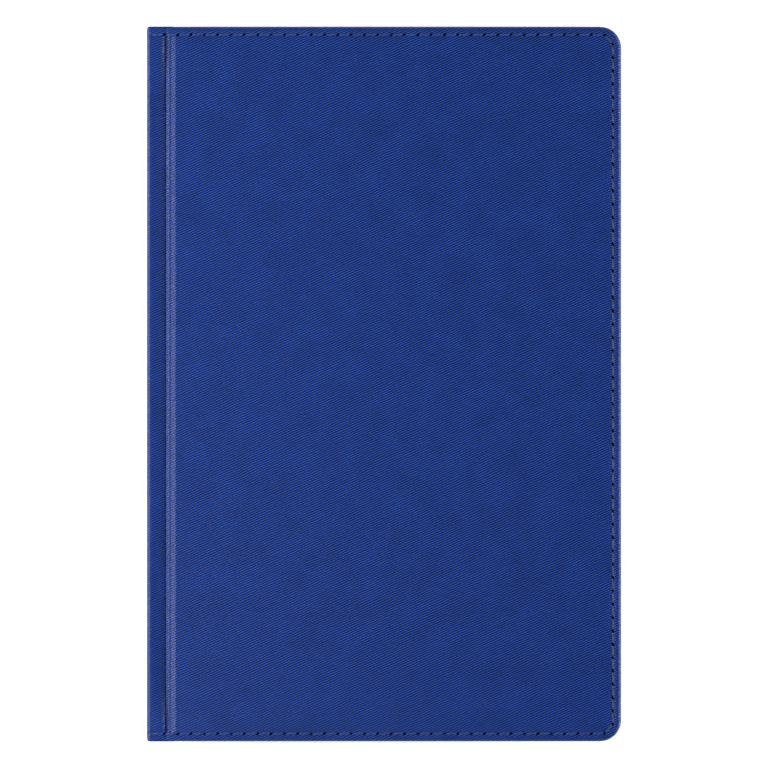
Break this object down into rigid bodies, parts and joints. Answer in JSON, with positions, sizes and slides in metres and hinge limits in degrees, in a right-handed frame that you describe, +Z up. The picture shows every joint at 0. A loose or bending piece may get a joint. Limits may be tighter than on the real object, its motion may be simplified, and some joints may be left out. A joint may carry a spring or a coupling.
{
  "type": "pilot logbook",
  "caption": "Case-bound pilot logbook with a stitched blue twill-grain cover, hinge grooves, sewn page sections and a cover that opens flat at the spine folds.",
  "frame": {"origin": "under the middle of the closed book, on the surface it lies on", "axes": "+X from the spine to the fore-edge, +Y from the tail to the head, +Z up from the back cover to the front cover"},
  "size_m": [0.142, 0.214, 0.014],
  "materials": {
    "cover_cloth": "blue synthetic leather with a fine diagonal twill grain, satin",
    "stitching_thread": "dark blue twisted thread",
    "board": "grey binder's board, matt",
    "endpaper": "heavy cream endpaper, matt",
    "page_paper": "off-white ledger paper, matt",
    "sewing_thread": "white linen thread",
    "mull": "open gauze stiffened with glue"
  },
  "bodies": {
    "back_cover": {"back_cover_cloth": "cover_cloth", "back_board": "board", "back_edge_stitching": "stitching_thread", "back_pastedown": "endpaper", "back_flyleaf": "endpaper", "mull": "mull", "section_4": "page_paper", "section_4_thread": "sewing_thread", "section_5": "page_paper", "section_5_thread": "sewing_thread", "section_6": "page_paper", "section_6_thread": "sewing_thread"},
    "spine": {"spine_cloth": "cover_cloth", "spine_strip": "board", "back_fold_cloth": "cover_cloth", "front_fold_cloth": "cover_cloth"},
    "front_cover": {"front_cover_cloth": "cover_cloth", "front_board": "board", "front_edge_stitching": "stitching_thread", "front_pastedown": "endpaper"},
    "front_pages": {"section_1": "page_paper", "section_1_thread": "sewing_thread", "section_2": "page_paper", "section_2_thread": "sewing_thread", "section_3": "page_paper", "section_3_thread": "sewing_thread"},
    "front_flyleaf": {"front_flyleaf": "endpaper"}
  },
  "joints": [
    {"name": "spine_fold", "type": "hinge", "parent": "back_cover", "child": "spine", "pos_m": [-0.0698, 0, 0.0012], "axis": [0, -1, 0], "range_deg": [0, 90], "deforming": ["back_fold_cloth"]},
    {"name": "front_cover_fold", "type": "hinge", "parent": "spine", "child": "front_cover", "pos_m": [-0.0698, 0, 0.0128], "axis": [0, -1, 0], "range_deg": [0, 90], "deforming": ["front_fold_cloth"]},
    {"name": "front_pages_turn", "type": "hinge", "parent": "back_cover", "child": "front_pages", "pos_m": [-0.0682, 0, 0.007], "axis": [0, -1, 0], "range_deg": [0, 178.65], "deforming": ["mull"]},
    {"name": "front_flyleaf_turn", "type": "hinge", "parent": "back_cover", "child": "front_flyleaf", "pos_m": [-0.0682, 0, 0.007], "axis": [0, -1, 0], "range_deg": [0, 179.55]}
  ],
  "couplings": [
    {"joint": "front_cover_fold", "follows": "spine_fold", "ratio": 1},
    {"joint": "front_pages_turn", "follows": "spine_fold", "ratio": 1.985},
    {"joint": "front_flyleaf_turn", "follows": "spine_fold", "ratio": 1.995}
  ]
}
